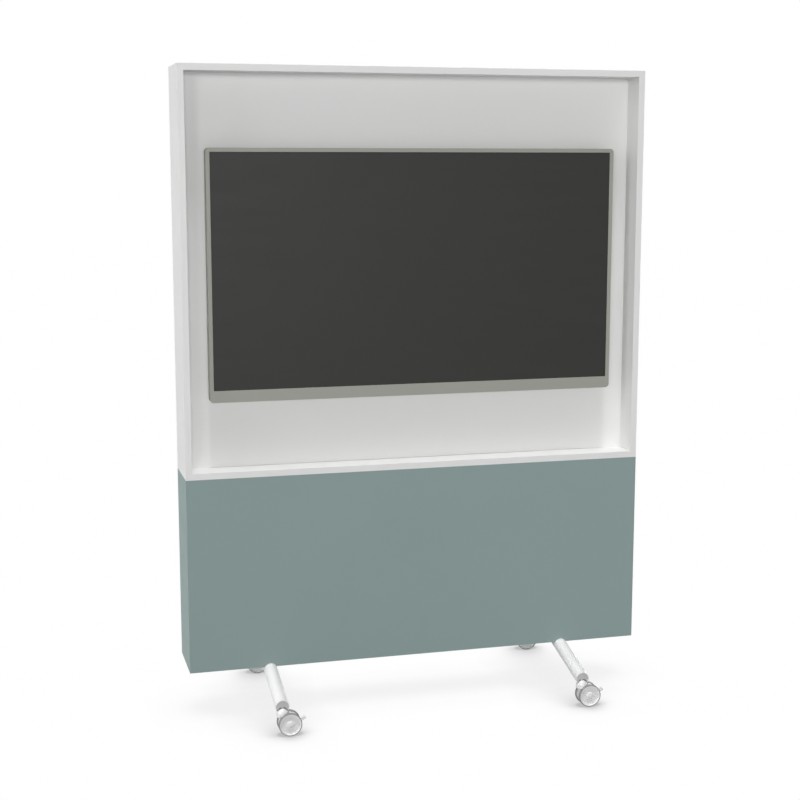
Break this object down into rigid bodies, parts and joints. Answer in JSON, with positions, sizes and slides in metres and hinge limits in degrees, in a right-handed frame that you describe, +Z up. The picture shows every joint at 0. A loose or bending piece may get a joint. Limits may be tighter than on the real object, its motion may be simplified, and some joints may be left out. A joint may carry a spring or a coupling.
{
  "type": "mobile monitor wall",
  "caption": "Free-standing room divider on casters: white niche frame with a recessed flat monitor over a closed green lower cabinet, on sloping tube legs.",
  "frame": {"origin": "on the floor, under the middle of the wall", "axes": "+Z up, +X to the viewer's right along the wall, -Y out of the screen towards the viewer"},
  "size_m": [1.4, 0.6, 1.9],
  "materials": {
    "white_board": "satin white melamine",
    "green_board": "satin grey-green melamine",
    "raw_timber": "planed softwood",
    "white_tube": "white powder coat",
    "grey_plug": "moulded grey",
    "white_caster": "moulded white",
    "grey_rim": "moulded light grey",
    "tyre_rubber": "soft grey tread",
    "zinc_steel": "zinc plated",
    "grey_bezel": "warm grey satin",
    "dark_screen": "anti-glare film",
    "black_plastic": "textured black",
    "black_steel": "black powder coat",
    "black_rubber": "matt black"
  },
  "bodies": {
    "wall": {"niche_left_board": "white_board", "niche_right_board": "white_board", "niche_top_board": "white_board", "niche_bottom_board": "white_board", "niche_back_board": "white_board", "rear_cover": "white_board", "rear_cover_screws": "zinc_steel", "frame_uprights": "raw_timber", "base_front_panel": "green_board", "base_rear_panel": "green_board", "base_left_panel": "green_board", "base_right_panel": "green_board", "base_bottom_board": "green_board", "front_left_leg_tube": "white_tube", "front_right_leg_tube": "white_tube", "rear_left_leg_tube": "white_tube", "rear_right_leg_tube": "white_tube", "leg_saddles": "white_tube", "saddle_screws": "zinc_steel", "leg_end_plugs": "grey_plug", "caster_stems": "zinc_steel", "monitor_bezel": "grey_bezel", "monitor_screen": "dark_screen", "monitor_rear_cover": "grey_bezel", "bracket_wall_rails": "black_steel", "bracket_arms": "black_steel", "bracket_arm_screws": "zinc_steel", "bracket_wall_screws": "zinc_steel", "cable_grommet": "black_plastic", "cable_gland": "black_rubber"},
    "front_left_caster": {"front_left_caster_housing": "white_caster", "front_left_caster_axle": "zinc_steel"},
    "front_left_outer_wheel": {"front_left_outer_rim": "grey_rim", "front_left_outer_tyre": "tyre_rubber"},
    "front_left_inner_wheel": {"front_left_inner_rim": "grey_rim", "front_left_inner_tyre": "tyre_rubber"},
    "front_left_pedal": {"front_left_brake_pedal": "white_caster"},
    "front_right_caster": {"front_right_caster_housing": "white_caster", "front_right_caster_axle": "zinc_steel"},
    "front_right_outer_wheel": {"front_right_outer_rim": "grey_rim", "front_right_outer_tyre": "tyre_rubber"},
    "front_right_inner_wheel": {"front_right_inner_rim": "grey_rim", "front_right_inner_tyre": "tyre_rubber"},
    "front_right_pedal": {"front_right_brake_pedal": "white_caster"},
    "rear_left_caster": {"rear_left_caster_housing": "white_caster", "rear_left_caster_axle": "zinc_steel"},
    "rear_left_outer_wheel": {"rear_left_outer_rim": "grey_rim", "rear_left_outer_tyre": "tyre_rubber"},
    "rear_left_inner_wheel": {"rear_left_inner_rim": "grey_rim", "rear_left_inner_tyre": "tyre_rubber"},
    "rear_left_pedal": {"rear_left_brake_pedal": "white_caster"},
    "rear_right_caster": {"rear_right_caster_housing": "white_caster", "rear_right_caster_axle": "zinc_steel"},
    "rear_right_outer_wheel": {"rear_right_outer_rim": "grey_rim", "rear_right_outer_tyre": "tyre_rubber"},
    "rear_right_inner_wheel": {"rear_right_inner_rim": "grey_rim", "rear_right_inner_tyre": "tyre_rubber"},
    "rear_right_pedal": {"rear_right_brake_pedal": "white_caster"},
    "power_button": {"monitor_power_button": "black_plastic"}
  },
  "joints": [
    {"name": "front_left_caster_swivel", "type": "hinge", "parent": "wall", "child": "front_left_caster", "pos_m": [-0.46, -0.28, 0.0645], "axis": [0, 0, 1], "continuous": true},
    {"name": "front_left_outer_wheel_spin", "type": "hinge", "parent": "front_left_caster", "child": "front_left_outer_wheel", "pos_m": [-0.43915, -0.28, 0.034], "axis": [0, 1, 0], "continuous": true},
    {"name": "front_left_inner_wheel_spin", "type": "hinge", "parent": "front_left_caster", "child": "front_left_inner_wheel", "pos_m": [-0.43915, -0.28, 0.034], "axis": [0, 1, 0], "continuous": true},
    {"name": "front_left_pedal_press", "type": "hinge", "parent": "front_left_caster", "child": "front_left_pedal", "pos_m": [-0.42015, -0.28, 0.031], "axis": [0, 1, 0], "range_deg": [0, 18]},
    {"name": "front_right_caster_swivel", "type": "hinge", "parent": "wall", "child": "front_right_caster", "pos_m": [0.46, -0.28, 0.0645], "axis": [0, 0, 1], "continuous": true},
    {"name": "front_right_outer_wheel_spin", "type": "hinge", "parent": "front_right_caster", "child": "front_right_outer_wheel", "pos_m": [0.48085, -0.28, 0.034], "axis": [0, 1, 0], "continuous": true},
    {"name": "front_right_inner_wheel_spin", "type": "hinge", "parent": "front_right_caster", "child": "front_right_inner_wheel", "pos_m": [0.48085, -0.28, 0.034], "axis": [0, 1, 0], "continuous": true},
    {"name": "front_right_pedal_press", "type": "hinge", "parent": "front_right_caster", "child": "front_right_pedal", "pos_m": [0.49985, -0.28, 0.031], "axis": [0, 1, 0], "range_deg": [0, 18]},
    {"name": "rear_left_caster_swivel", "type": "hinge", "parent": "wall", "child": "rear_left_caster", "pos_m": [-0.46, 0.28, 0.0645], "axis": [0, 0, 1], "continuous": true},
    {"name": "rear_left_outer_wheel_spin", "type": "hinge", "parent": "rear_left_caster", "child": "rear_left_outer_wheel", "pos_m": [-0.43915, 0.28, 0.034], "axis": [0, 1, 0], "continuous": true},
    {"name": "rear_left_inner_wheel_spin", "type": "hinge", "parent": "rear_left_caster", "child": "rear_left_inner_wheel", "pos_m": [-0.43915, 0.28, 0.034], "axis": [0, 1, 0], "continuous": true},
    {"name": "rear_left_pedal_press", "type": "hinge", "parent": "rear_left_caster", "child": "rear_left_pedal", "pos_m": [-0.42015, 0.28, 0.031], "axis": [0, 1, 0], "range_deg": [0, 18]},
    {"name": "rear_right_caster_swivel", "type": "hinge", "parent": "wall", "child": "rear_right_caster", "pos_m": [0.46, 0.28, 0.0645], "axis": [0, 0, 1], "continuous": true},
    {"name": "rear_right_outer_wheel_spin", "type": "hinge", "parent": "rear_right_caster", "child": "rear_right_outer_wheel", "pos_m": [0.48085, 0.28, 0.034], "axis": [0, 1, 0], "continuous": true},
    {"name": "rear_right_inner_wheel_spin", "type": "hinge", "parent": "rear_right_caster", "child": "rear_right_inner_wheel", "pos_m": [0.48085, 0.28, 0.034], "axis": [0, 1, 0], "continuous": true},
    {"name": "rear_right_pedal_press", "type": "hinge", "parent": "rear_right_caster", "child": "rear_right_pedal", "pos_m": [0.49985, 0.28, 0.031], "axis": [0, 1, 0], "range_deg": [0, 18]},
    {"name": "power_button_press", "type": "slide", "parent": "wall", "child": "power_button", "axis": [0, 0, 1], "range_m": [0, 0.001], "stiffness_N_per_m": 600}
  ]
}
